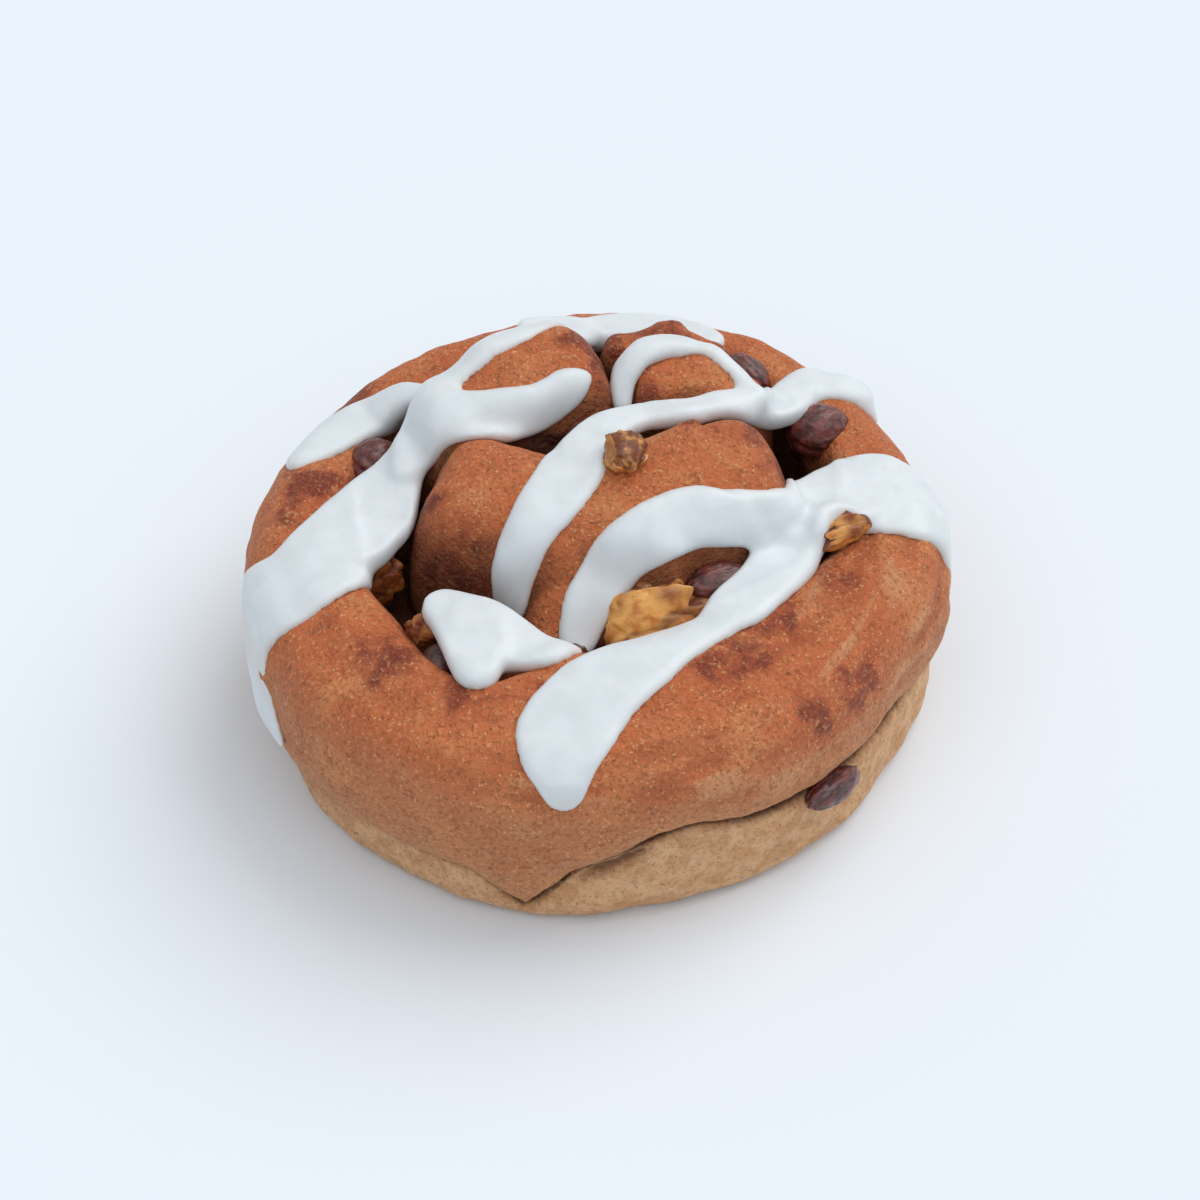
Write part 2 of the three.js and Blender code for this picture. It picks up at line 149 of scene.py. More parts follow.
# ------------------------------------------------------------------ icing, nuts and fruit
# Icing ribbons: centre line and half width, (x, y, z, half width), for each piece of icing.
ICING = {
    "icing_back_left": [
        [(-47.5, -26.5, 16, 2.6), (-50, -21, 19.5, 4.6), (-52, -16, 23.5, 6.4),
         (-51, -12, 28.5, 7.2), (-44.5, -10.5, 33.5, 7), (-39, -6, 35, 7.4), (-33.5, 2, 35.5, 6.8),
         (-30, 9, 37, 4.5), (-27.5, 12, 39.5, 3.8), (-24.5, 13, 42.5, 3.8), (-20, 13.5, 45, 4.2),
         (-14.5, 14, 45, 4), (-9, 15.5, 45.5, 3.9), (-5, 18, 46, 3.2), (-2, 20, 45.5, 1.3)],
        [(-28.5, 9, 38, 2.5), (-28, 14, 41, 2.2), (-26, 17.5, 43.5, 2.6), (-22, 21, 46, 3.2),
         (-17, 24.5, 47, 3.3), (-12.5, 27, 47.5, 3.2), (-8, 30, 46, 2.8), (-5, 34, 42, 2.8),
         (-3, 39, 37.5, 3)],
        [(-44, 14.5, 33.5, 2.6), (-40.5, 19, 35, 4), (-36, 23, 35.5, 4), (-31.5, 25, 36.5, 3.6),
         (-28, 24, 40, 2.6), (-25, 21, 43.5, 2.2)],
        [(-11, 38.5, 40, 2.5), (-3, 41, 37.5, 3), (3, 42, 37, 3.5), (9, 43, 37, 2.8),
         (14, 41, 37, 3.2), (17.5, 39.5, 36, 2)],
    ],
    "icing_centre": [
        [(-13.5, -11.5, 29.5, 2.6), (-13, -10.5, 34, 3.3), (-11.5, -9, 39, 3.7),
         (-9, -5.5, 43, 4.3), (-5.5, -0.5, 45, 4.8), (-2.5, 5.5, 45, 4.9), (1, 11.5, 44.5, 3.5),
         (6, 14.5, 44, 2.6), (12, 15.5, 44, 2.6), (17.5, 18, 43, 2.8), (23, 20.5, 41, 2.8),
         (27.5, 24.5, 37, 3.8), (30.5, 29.5, 36, 3.8), (34.5, 31.5, 35.5, 3.6),
         (39, 30.5, 34.5, 2.8), (42.5, 28, 32, 1.6)],
        [(3.5, 20, 40, 1.5), (3.5, 23.5, 43, 2.2), (6, 27, 45, 2.6), (11, 29, 45, 2.4),
         (16, 28.5, 44.5, 2.2), (20, 25.5, 43, 1.9), (23.5, 20.5, 42, 1.8)],
    ],
    "icing_front_right": [
        [(-3.5, -17.5, 31, 3.2), (-1, -13, 35.5, 4), (2, -10.5, 40, 4.6), (7, -8, 43, 4.8),
         (12.5, -5, 43.5, 4.6), (18, -4, 42.5, 4.4), (24, -1.5, 39.5, 4.6), (28.5, 0.5, 36.5, 5.2),
         (31.5, 4.5, 36, 5.5), (37, 7.5, 35.5, 7.2), (42, 8, 35, 8.2), (46, 6, 33.5, 6.6),
         (49.5, 3.5, 29.5, 4), (51.5, 0.5, 24, 2)],
        [(-5, -45.5, 29.5, 2.8), (-5, -43, 32.5, 4.4), (-5, -38.5, 35, 6.8), (-2, -34, 36, 6.8),
         (3.5, -28.5, 36.5, 5.8), (9.5, -23.5, 36.5, 4.8), (16, -18.5, 36, 4.6),
         (22, -12.5, 35.5, 4.8), (26.5, -6, 35, 4.8), (29, -0.5, 35.5, 4.4)],
    ],
    "icing_front_left": [
        [(-22.5, -15, 35, 3.4), (-20, -17, 35.5, 4.6), (-17.5, -21.5, 36, 5.2),
         (-17, -27.5, 36, 3.6)],
        [(-17, -18.5, 35.5, 5.4), (-12.5, -22, 35.5, 4.6), (-8, -24, 35.5, 3.2),
         (-3.5, -23, 35.5, 1.6)],
    ],
}
ICING_THICKNESS = 1.15
ICING_SINK = 0.35  # how far the icing reaches into the dough's skin
THIN_ICING = (0.35, 1.0)  # the dough shows through the first thickness, and not the second
ICING_EDGE = 1.3  # how round the icing's edges are
POINT_SPACING = 0.8  # along a ribbon's centre line
SEARCH_OUT = 5  # how far out of a centre line, and into it, the surface under it is looked for
SEARCH_IN = 2
SEARCH_STEP = 0.1
HANGING_Z = (32, 34)  # ribbons hang across hollows only above this
RIBBON_MARGIN = 3  # room round a ribbon in its part of the grid
SHEET_DROP = 0.9  # a hanging ribbon's sheet has its middle this far below the centre line
SHEET_HALF_THICKNESS = 0.7
ICED_WALNUTS = ["walnut_right", "walnut_back_left"]  # the icing runs up over these

# Walnut pieces and raisins: centre, radii along the piece's own axes, and its turns in degrees.
WALNUTS = {
    "walnut_top": ((3, 3, 46.5), (4.1, 3.6, 2.8), (10, 0, 30)),
    "walnut_front": ((6.5, -14.5, 31), (9, 5.6, 6), (0, -5, 12)),
    "walnut_right": ((34.5, -1.5, 36), (4.2, 3.2, 2.9), (0, -8, 15)),
    "walnut_left": ((-32, -3, 28), (3.4, 3.6, 4.2), (20, 0, 40)),
    "walnut_lower_left": ((-25.2, -16, 31.5), (2.6, 3, 3), (0, 30, 0)),
    "walnut_back_left": ((-28, 27, 35.5), (2.6, 2.2, 2.2), (0, 0, 50)),
}
RAISINS = {
    "raisin_upper_left": ((-33.5, 16, 32), (4, 4, 4.4), (0, 20, 30)),
    "raisin_right": ((32.8, 23, 32.5), (4.6, 4, 4.5), (15, 0, 20)),
    "raisin_back_right": ((22.5, 33, 34), (4.4, 2.8, 3.6), (0, 20, -45)),
    "raisin_side": ((33.3, -29.8, 12.7), (5.6, 2.4, 2.2), (0, 12, 49)),
    "raisin_front": ((16.8, -9, 33), (4.8, 3, 3.2), (0, 0, 20)),
    "raisin_front_small": ((-3.8, -18.2, 28.5), (2.6, 2.2, 2.3), (0, 0, 10)),
    "raisin_lower_left": ((-22.3, -22.5, 30.5), (3, 3.4, 3.3), (25, 0, 0)),
    "raisin_left": ((-33, -9, 24), (3, 3, 3.2), (0, 35, 0)),
    "raisin_centre": ((-1.5, 14.5, 40), (3.8, 2.4, 2.6), (0, 10, 25)),
}
# How far the filling's syrup has coloured each walnut piece, 0 to 1.
GLAZED = {
    "walnut_top": 0.2, "walnut_front": 0.3, "walnut_right": 0.4, "walnut_left": 0.85,
    "walnut_lower_left": 0.75, "walnut_back_left": 0.4,
}


# ------------------------------------------------------------------ camera, floor and light
def to_scene(x, y, z):
    return Vector((x, y - OUTLINE_CENTRE_Y, z)) * MM


def aim(thing, target):
    thing.rotation_mode = "QUATERNION"
    thing.rotation_quaternion = (target - thing.location).to_track_quat("-Z", "Y")


def add_camera():
    target = to_scene(*CAMERA_TARGET)
    data = bpy.data.cameras.new("camera")
    data.sensor_width = SENSOR
    data.lens = LENS
    camera = bpy.data.objects.new("camera", data)
    bpy.context.scene.collection.objects.link(camera)
    away = Vector((0, -math.cos(CAMERA_ELEVATION), math.sin(CAMERA_ELEVATION)))
    camera.location = target + away * CAMERA_DISTANCE * MM
    aim(camera, target)
    bpy.context.scene.camera = camera


def add_sun(name, direction, strength, softness, colour):
    """A light that shines from a direction, as if from a disc softness degrees across."""
    data = bpy.data.lights.new(name, "SUN")
    data.energy = strength
    data.angle = math.radians(softness)
    data.color = colour
    light = bpy.data.objects.new(name, data)
    bpy.context.scene.collection.objects.link(light)
    light.location = Vector(direction)
    aim(light, Vector((0, 0, 0)))


def add_floor():
    bpy.ops.mesh.primitive_plane_add(size=FLOOR_SIZE)
    floor = bpy.context.object
    floor.name = "floor"
    shader = Shader("floor")
    shader.surface(colour=(0.84, 0.90, 0.965), roughness=0.8, Specular_IOR_Level=0.1)
    floor.data.materials.append(shader.material)


def add_studio():
    scene = bpy.context.scene
    scene.view_settings.view_transform = "Standard"
    world = bpy.data.worlds.new("studio")
    world.use_nodes = True
    background = world.node_tree.nodes["Background"]
    background.inputs["Color"].default_value = SKY
    background.inputs["Strength"].default_value = SKY_STRENGTH
    scene.world = world
    add_sun("key", (0.55, 0.40, 0.80), strength=1.25, softness=50, colour=(1.0, 0.98, 0.96))
    add_sun("overhead", (0.0, -0.30, 1.0), strength=1.0, softness=80, colour=(0.98, 0.99, 1.0))
    add_floor()


# ------------------------------------------------------------------ shader helper
class Shader:
    """A material's node tree, with short ways to add the nodes used here."""

    def __init__(self, name):
        self.material = bpy.data.materials.new(name)
        self.material.use_nodes = True
        self.nodes = self.material.node_tree.nodes
        self.links = self.material.node_tree.links
        self.principled = self.nodes["Principled BSDF"]
        self.place = self.nodes.new("ShaderNodeTexCoord").outputs["Object"]

    def put(self, socket, value):
        if isinstance(value, bpy.types.NodeSocket):
            self.links.new(value, socket)
        elif isinstance(value, tuple) and len(value) == 3 and socket.type == "RGBA":
            socket.default_value = (*value, 1)
        else:
            socket.default_value = value

    def surface(self, colour, roughness, **others):
        self.put(self.principled.inputs["Base Color"], colour)
        self.put(self.principled.inputs["Roughness"], roughness)
        for name, value in others.items():
            self.put(self.principled.inputs[name.replace("_", " ")], value)

    def scatter(self, weight, red, green, blue):
        """Lets light spread under the surface, as many millimetres as each colour gives."""
        self.put(self.principled.inputs["Subsurface Weight"], weight)
        radius = [reach * MM for reach in (red, green, blue)]
        self.principled.inputs["Subsurface Radius"].default_value = radius

    def noise(self, size, detail=3.0, roughness=0.55):
        """Cloudy noise, 0 to 1, whose lumps are about size millimetres across."""
        node = self.nodes.new("ShaderNodeTexNoise")
        self.links.new(self.place, node.inputs["Vector"])
        node.inputs["Scale"].default_value = 1 / (size * MM)
        node.inputs["Detail"].default_value = detail
        node.inputs["Roughness"].default_value = roughness
        return node.outputs["Fac"]

    def specks(self, spacing, size, softness=0.3):
        """Round specks, 1 on a speck and 0 off it, size across and about spacing apart."""
        node = self.nodes.new("ShaderNodeTexVoronoi")
        self.links.new(self.place, node.inputs["Vector"])
        node.inputs["Scale"].default_value = 1 / (spacing * MM)
        radius = 0.5 * size / spacing
        distance = node.outputs["Distance"]
        return self.remap(distance, radius * (1 + softness), radius * (1 - softness))

    def remap(self, value, start, end, low=0.0, high=1.0):
        """Runs smoothly from low, where the value is at start, to high, where it is at end."""
        node = self.nodes.new("ShaderNodeMapRange")
        node.interpolation_type = "SMOOTHSTEP"
        for name, number in zip(("Value", "From Min", "From Max", "To Min", "To Max"),
                                (value, start, end, low, high)):
            self.put(node.inputs[name], number)
        return node.outputs["Result"]

    def math(self, operation, a, b):
        node = self.nodes.new("ShaderNodeMath")
        node.operation = operation
        self.put(node.inputs[0], a)
        self.put(node.inputs[1], b)
        return node.outputs[0]

    def times(self, a, b):
        return self.math("MULTIPLY", a, b)

    def plus(self, a, b):
        return self.math("ADD", a, b)

    def mix(self, a, b, share):
        """One colour turning into another as share goes from 0 to 1."""
        node = self.nodes.new("ShaderNodeMix")
        node.data_type = "RGBA"
        colour_a, colour_b = node.inputs[6], node.inputs[7]
        self.put(node.inputs["Factor"], share)
        self.put(colour_a, a)
        self.put(colour_b, b)
        return node.outputs[2]

    def attribute(self, name):
        node = self.nodes.new("ShaderNodeAttribute")
        node.attribute_name = name
        return node.outputs["Fac"]

    def bump(self, height, depth, under=None):
        """Raises the surface by height times depth millimetres, on top of the bump under it."""
        node = self.nodes.new("ShaderNodeBump")
        node.inputs["Strength"].default_value = 1.0
        node.inputs["Distance"].default_value = depth * MM
        self.links.new(height, node.inputs["Height"])
        if under:
            self.links.new(under, node.inputs["Normal"])
        self.links.new(node.outputs["Normal"], self.principled.inputs["Normal"])
        return node.outputs["Normal"]


# ------------------------------------------------------------------ numeric helpers
def blended(values, corners, shares):
    """Values mixed between each place's eight neighbours. Each axis gives the neighbours' low and
    high grid numbers, and the place's share of the way from one to the other."""
    total = 0
    for sides in itertools.product((0, 1), repeat=3):
        weight = 1
        for share, side in zip(shares, sides):
            weight = weight * (share if side else 1 - share)
        neighbour = tuple(corner[side] for corner, side in zip(corners, sides))
        total = total + weight * values[neighbour]
    return total


class Lattice:
    """Smooth random values through space, from -1 to 1, the same each run."""

    SIZE = 32

    def __init__(self, seed):
        random = np.random.default_rng(seed)
        self.values = random.uniform(-1, 1, (self.SIZE,) * 3).astype(np.float32)

    def __call__(self, x, y, z, size):
        corners, shares = [], []
        for value in np.broadcast_arrays(x, y, z):
            scaled = np.asarray(value, float) / size
            low = np.floor(scaled)
            t = scaled - low
            corners.append((low.astype(int) % self.SIZE, (low.astype(int) + 1) % self.SIZE))
            shares.append(t * t * (3 - 2 * t))
        return blended(self.values, corners, shares)


def curve_between(a, b, c, d, t):
    """A smooth curve from b to c as t goes from 0 to 1, whose neighbours are a and d."""
    return b + 0.5 * t * (c - a + t * (2 * a - 5 * b + 4 * c - d + t * (3 * (b - c) + d - a)))


def around(values, angle):
    """A smooth closed curve through values that stand at equal angles."""
    values = np.asarray(values, float)
    n = len(values)
    s = np.mod(angle / (2 * np.pi), 1.0) * n
    i = np.floor(s).astype(int)
    return curve_between(*(values[(i + k) % n] for k in (-1, 0, 1, 2)), s - i)


def rounded_max(a, b, width):
    """The larger of two, with the corner between them rounded over the given width."""
    h = np.clip(0.5 + 0.5 * (a - b) / width, 0, 1)
    return b * (1 - h) + a * h + width * h * (1 - h)


def rounded_min(a, b, width):
    return -rounded_max(-a, -b, width)


def cushion(distance, squareness):
    """Height share of a rounded cushion, 1 in its middle and 0 at its edge."""
    return (1 - np.clip(distance, 0, 1) ** squareness) ** (1 / squareness)


def hump(value):
    """1 at 0, falling away on both sides."""
    return np.exp(-(value**2))


def smooth(value, start, end):
    """Goes smoothly from 0, where the value is at start, to 1, where it is at end."""
    t = np.clip((value - start) / (end - start), 0, 1)
    return t * t * (3 - 2 * t)


def polar(points):
    return np.arctan2(points[:, 1], points[:, 0]), np.hypot(points[:, 0], points[:, 1])


# ------------------------------------------------------------------ grids and surfaces
def axes(step):
    """Grid lines along x, y and z that hold the whole roll."""
    return [np.arange(a, b, step) for a, b in zip(GRID_LOW, GRID_HIGH)]


def spacing(grid):
    return grid[0][1] - grid[0][0]


def block_between(grid, low, high):
    """The stretch of a grid's lines between two corners, as a slice along each axis."""
    step = spacing(grid)
    first = [max(0, int((a - g[0]) / step)) for a, g in zip(low, grid)]
    last = [max(0, int((b - g[0]) / step) + 1) for b, g in zip(high, grid)]
    return tuple(slice(a, b) for a, b in zip(first, last))


def surface_of(field, grid, smoothing):
    """The zero surface of a field as corners and four-sided faces, lightly smoothed."""
    background = 10.0
    volume = openvdb.FloatGrid(background)
    volume.copyFromArray(field)
    points, quads = volume.convertToQuads(isovalue=0.0)
    points = points * spacing(grid) + np.array([g[0] for g in grid])
    quads = quads.astype(np.int64)
    edges = np.concatenate([quads[:, [i, (i + 1) % 4]] for i in range(4)])
    count = np.bincount(edges[:, 0], minlength=len(points))
    for _ in range(smoothing):
        total = [np.bincount(edges[:, 0], points[edges[:, 1], k], len(points)) for k in range(3)]
        points = 0.5 * points + 0.5 * np.stack(total, 1) / count[:, None]
    return points, quads


def corner_normals(points, quads):
    """The way out at each corner, from the faces that meet there."""
    a, b, c, d = (points[quads[:, i]] for i in range(4))
    face = np.cross(c - a, d - b)
    normals = np.zeros_like(points)
    for k in range(3):
        for i in range(4):
            normals[:, k] += np.bincount(quads[:, i], face[:, k], len(points))
    return normals / np.maximum(np.linalg.norm(normals, axis=1, keepdims=True), 1e-9)


def blurred(values, cells):
    """Each grid point's average over the box around it, taken twice."""
    out = values.astype(np.float32)
    size = 2 * cells + 1
    for axis in range(3):
        for _ in range(2):
            margins = [(cells + 1, cells) if k == axis else (0, 0) for k in range(3)]
            sums = np.cumsum(np.pad(out, margins, mode="edge"), axis=axis, dtype=np.float64)
            n = out.shape[axis]
            high = np.take(sums, range(size, size + n), axis=axis)
            low = np.take(sums, range(0, n), axis=axis)
            out = ((high - low) / size).astype(np.float32)
    return out


def sampled(values, grid, points):
    """Grid values at any points, blended between the nearest grid points."""
    place = [(points[:, k] - grid[k][0]) / spacing(grid) for k in range(3)]
    place = [np.clip(p, 0, n - 1.001) for p, n in zip(place, values.shape)]
    low = [p.astype(int) for p in place]
    return blended(values, [(i, i + 1) for i in low], [p - i for p, i in zip(place, low)])


# ------------------------------------------------------------------ the dough's shape
def crest_radius(angle):
    return (1 - CREST_SHARE) * around(TRENCH_R, angle) + CREST_SHARE * around(SHOULDER_R, angle)


def outer_turn_z(radius, angle):
    """Height of the outer turn: it rounds over from its crest to its shoulder and into the trench."""
    outer, inner, crest = (around(v, angle) for v in (SHOULDER_R, TRENCH_R, CREST_Z))
    ridge = crest_radius(angle)
    share = (radius - ridge) / (outer - ridge)
    outside = cushion(share, SHOULDER_SQUARENESS)
    front = smooth(-np.sin(angle), -0.1, 0.4)
    furrow = FURROW_DEPTH * front * hump((share - FURROW_PLACE) / FURROW_WIDTH)
    inside = cushion((ridge - radius) / (ridge - inner), WALL_SQUARENESS)
    return np.where(
        radius > ridge,
        WIDEST_Z + (crest - WIDEST_Z) * outside - furrow,
        WALL_FOOT_Z + (crest - WALL_FOOT_Z) * inside,
    )


def along_ridge(x, y, a, b):
    """For one stretch of a ridge: how far along it a place is, 0 to 1, and how far off, in half
    widths of the ridge."""
    dx, dy = b[0] - a[0], b[1] - a[1]
    length = math.hypot(dx, dy)
    along = ((x - a[0]) * dx + (y - a[1]) * dy) / length
    across = np.abs((x - a[0]) * dy - (y - a[1]) * dx) / length
    beyond = np.maximum(np.maximum(-along, along - length), 0)
    t = np.clip(along / length, 0, 1)
    return t, (across**3 + beyond**3) ** (1 / 3) / (a[2] + t * (b[2] - a[2]))


def ridge_z(x, y, lean, points):
    """Height of one risen inner turn, whose top rises towards the back by lean."""
    middle = sum(p[1] for p in points) / len(points)
    share = np.full(np.shape(x), np.inf)
    top = np.zeros(np.shape(x))
    for a, b in zip(points, points[1:]):
        t, here = along_ridge(x, y, a, b)
        nearer = here < share
        share = np.where(nearer, here, share)
        top = np.where(nearer, a[3] + t * (b[3] - a[3]), top)
    top = top + np.clip(lean * (y - middle), -3, 3)
    return WALL_FOOT_Z + (top - WALL_FOOT_Z) * cushion(share, RIDGE_SQUARENESS)


def top_z(x, y):
    """Height of the dough's top, with its trenches filled up to their floors."""
    radius, angle = np.hypot(x, y), np.arctan2(y, x)
    z = outer_turn_z(radius, angle)
    for lean, points in RIDGES:
        z = rounded_max(z, ridge_z(x, y, lean, points), RIDGE_ROUNDING)
    trenched = smooth(radius, MIDDLE_R, TRENCHED_R)
    floor = MIDDLE_Z + (around(FLOOR_Z, angle) - MIDDLE_Z) * trenched
    return np.where(radius > crest_radius(angle), z, rounded_max(z, floor, FLOOR_ROUNDING))


def angle_from(angle, middle):
    return np.abs(np.angle(np.exp(1j * (angle - middle))))


def seam_z(angle):
    off = angle_from(angle, FOLD_ANGLE)
    return around(SEAM_Z, angle) - FOLD_DROP * np.clip(1 - off / FOLD_HALF_ANGLE, 0, 1)


def pocket(angle, z):
    """How deep in the short second crease beside the V a place is, 0 to 1."""
    off = angle_from(angle, POCKET_ANGLE) / POCKET_HALF_ANGLE
    above = (z - around(SEAM_Z, angle) + POCKET_DROP) / POCKET_HALF_HEIGHT
    return np.exp(-(off**4) - above**2)


def side_radius(angle, z):
    """Radius below the shoulder: the bulging turn hangs over the seam, the paler lip below it."""
    seam = seam_z(angle)
    depth = around(SEAM_DEPTH, angle)
    above = np.clip((SIDE_TOP_Z - z) / (SIDE_TOP_Z - seam), 0, 3)
    under = np.clip((seam - z) / UNDERCUT_HEIGHT, 0, 3)
    undercut = 1 + CREASE_DEPTH * depth
    bulge = around(SHOULDER_R, angle) - BULGE_PULL * above**4 - undercut * under**2

    widest = LIP_WIDEST * seam
    off = np.clip(np.abs((z - widest) / (LIP_REACH * seam)), 0, 2)
    tuck = np.where(z < widest, LIP_TUCK_BELOW, LIP_TUCK_ABOVE)
    over = np.clip((z - seam + CREASE_DROP) / CREASE_WIDTH, 0, 3)
    lip = around(LIP_R, angle) - tuck * off**4 - CREASE_DEPTH * depth * over**2
    lip = lip - POCKET_DEPTH * pocket(angle, z)
    return rounded_max(bulge, lip, 0.3 + 1.5 * (1 - np.clip(depth, 0, 1)))


def uneven(values, lattice, x, y):
    """Values shifted here and there by the broad and the smaller lumps of risen dough."""
    return values + 0.6 * lattice(x, y, 0, 14) + 0.3 * lattice(x, y, 5, 5)


def above_top(top, grid):
    """Height above the dough's top, made less where the top is steep, as distance is."""
    steepest = 8
    slope = np.gradient(top, spacing(grid))
    steepness = np.sqrt(1 + np.minimum(slope[0] ** 2 + slope[1] ** 2, steepest**2))
    return (grid[2] - top[..., None]) / steepness[..., None]


def outside_side(x, y, heights):
    """Distance out of the dough's side, from a table of its radii by angle and height."""
    turns = np.linspace(-np.pi, np.pi, 1441)
    table = side_radius(turns[:, None], np.minimum(heights, SIDE_TOP_Z)[None, :])
    place = (np.arctan2(y, x) + np.pi) / (2 * np.pi) * (len(turns) - 1)
    low = np.clip(place.astype(int), 0, len(turns) - 2)
    share = (place - low)[..., None]
    side = table[low] * (1 - share) + table[low + 1] * share
    return np.hypot(x, y)[..., None] - side


def dough_field(grid):
    """Distance out of the dough at each grid point, negative inside it."""
    x, y = np.meshgrid(grid[0], grid[1], indexing="ij")
    lumps = [Lattice(seed) for seed in DOUGH_SEEDS]
    wx, wy = uneven(x, lumps[0], x, y), uneven(y, lumps[1], x, y)
    top = top_z(wx, wy) + 0.5 * lumps[2](x, y, 0, 12)
    field = rounded_max(above_top(top, grid), outside_side(wx, wy, grid[2]), 1.0)
    return rounded_max(field, -grid[2][None, None, :], BASE_ROUNDING).astype(np.float32)


# ------------------------------------------------------------------ mesh objects
def add_piece(node, points, faces, material, attributes):
    """Makes the visible piece that stands for a CAD node, with a value of each attribute for each
    corner."""
    mesh = bpy.data.meshes.new(node + "_look")
    sides = faces.shape[1]
    placed = (points - np.array([0, OUTLINE_CENTRE_Y, 0])) * MM
    mesh.vertices.add(len(points))
    mesh.vertices.foreach_set("co", placed.astype(np.float32).ravel())
    mesh.loops.add(faces.size)
    mesh.loops.foreach_set("vertex_index", faces.astype(np.int32).ravel())
    mesh.polygons.add(len(faces))
    mesh.polygons.foreach_set("loop_start", np.arange(0, faces.size, sides, dtype=np.int32))
    mesh.polygons.foreach_set("loop_total", np.full(len(faces), sides, np.int32))
    mesh.polygons.foreach_set("use_smooth", np.ones(len(faces), bool))
    mesh.update(calc_edges=True)
    for key, values in attributes.items():
        layer = mesh.attributes.new(key, "FLOAT", "POINT")
        layer.data.foreach_set("value", np.asarray(values, np.float32))
    mesh.materials.append(material)
    piece = bpy.data.objects.new(mesh.name, mesh)
    bpy.context.scene.collection.objects.link(piece)
    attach(piece, "root")
    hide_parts(node)


# ------------------------------------------------------------------ dough
def baked_colour(s):
    """Tan on the sides and red-brown where it browned, golden in patches, paler or darker where the
    skin stretched, and pale below the seam."""
    side, top, tan, golden = (
        (0.61, 0.235, 0.098), (0.645, 0.176, 0.060), (0.70, 0.34, 0.15), (0.78, 0.31, 0.12))
    stretched, drawn_together, blotch = (0.76, 0.41, 0.21), (0.42, 0.10, 0.04), (0.44, 0.11, 0.035)
    pale, pale_shade = (0.93, 0.57, 0.31), (0.74, 0.39, 0.18)
    streak = s.attribute("streak")
    colour = s.mix(side, top, s.attribute("browned"))
    colour = s.mix(colour, tan, s.times(s.attribute("tanned"), 0.55))
    colour = s.mix(colour, golden, s.remap(s.noise(9, 4), 0.46, 0.70, 0, 0.6))
    colour = s.mix(colour, stretched, s.remap(streak, 0.1, 0.7, 0, 0.55))
    colour = s.mix(colour, drawn_together, s.remap(streak, -0.1, -0.7, 0, 0.5))
    colour = s.mix(colour, blotch, s.remap(s.noise(2.4, 4, 0.7), 0.52, 0.68, 0, 0.6))
    lower = s.mix(pale, pale_shade, s.remap(s.noise(2.6, 5, 0.65), 0.38, 0.62))
    return s.mix(colour, lower, s.attribute("pale"))


def scorched_colour(s, colour):
    """The colour with its scorched places darkened, and how much of each stain's dark patch shows."""
    burnt, patch_colour = (0.48, 0.085, 0.032), (0.17, 0.026, 0.018)
    scorched = s.attribute("scorched")
    colour = s.mix(colour, burnt, s.times(scorched, 0.7))
    patch = s.remap(s.plus(s.times(scorched, 0.5), s.noise(1.7, 7, 0.8)), 0.68, 1.0)
    return s.mix(colour, patch_colour, s.times(patch, 0.8)), patch


def grained_colour(s, colour, patch):
    """The colour with the crust's grain and specks, whose light specks fade in the dark patches."""
    dark_grain, light_grain = (0.36, 0.12, 0.045), (0.90, 0.46, 0.20)
    dark_speck, light_speck = (0.24, 0.07, 0.025), (0.95, 0.60, 0.28)
    browner = s.remap(s.attribute("pale"), 0, 1, 1, 0.5)
    grain = s.times(s.remap(s.noise(0.6, 3, 0.6), 0.50, 0.66, 0, 0.65), browner)
    colour = s.mix(colour, dark_grain, grain)
    colour = s.mix(colour, light_grain, s.remap(s.noise(0.8, 4, 0.75), 0.54, 0.68, 0, 0.6))
    colour = s.mix(colour, dark_speck, s.times(s.specks(1.4, 0.36), 0.5))
    light = s.times(s.specks(1.15, 0.34), s.remap(patch, 0, 1, 0.48, 0.08))
    return s.mix(colour, light_speck, light)


def crust_material():
    """Baked crust with a matt, finely pitted skin, darkened on its trench walls and deep between its
    turns by cinnamon and painted shade, and by painted shade alone under the seam and in its narrow
    creases.
    """
    # The first colour is cinnamon darkened further by painted shade; the second is painted shade in
    # the narrow creases.
    filling_and_shade_colour, crease_shade_colour = (0.055, 0.011, 0.006), (0.13, 0.04, 0.015)
    s = Shader("crust")
    colour, patch = scorched_colour(s, baked_colour(s))
    colour = grained_colour(s, colour, patch)
    fine = s.noise(1.3, 3)
    # Cinnamon and painted shade on the trench walls and deep between the turns, and a painted shadow
    # line under the seam.
    filling_and_shade = s.times(s.attribute("filling_and_shade"), s.remap(fine, 0.2, 0.6, 0.8, 1))
    colour = s.mix(colour, filling_and_shade_colour, filling_and_shade)
    # Painted shade in the narrow creases.
    colour = s.mix(colour, crease_shade_colour, s.times(s.attribute("crease"), 0.8))
    rough = s.remap(fine, 0.3, 0.7, 0.50, 0.66)
    s.surface(colour, rough, Specular_IOR_Level=0.34)
    s.scatter(0.05, 1.2, 0.5, 0.2)
    skin = s.bump(s.noise(2.6, 4, 0.6), 0.7)
    skin = s.bump(s.noise(0.8, 4, 0.7), 0.75, skin)
    s.bump(s.specks(1.1, 0.5, 0.8), -0.15, skin)
    return s.material


def front_right(angle):
    """1 at the front right of the roll, where the crust stretched most, and 0 away from it."""
    return smooth(np.cos(angle - math.radians(-45)), 0.2, 0.8)


def drawn_out(points, lattice):
    """Noise drawn out round the roll, -1 to 1, like the marks of stretched crust."""
    angle, radius = polar(points)
    return lattice(radius / 1.5, angle * 5, points[:, 2] / 2.2, 1.0)


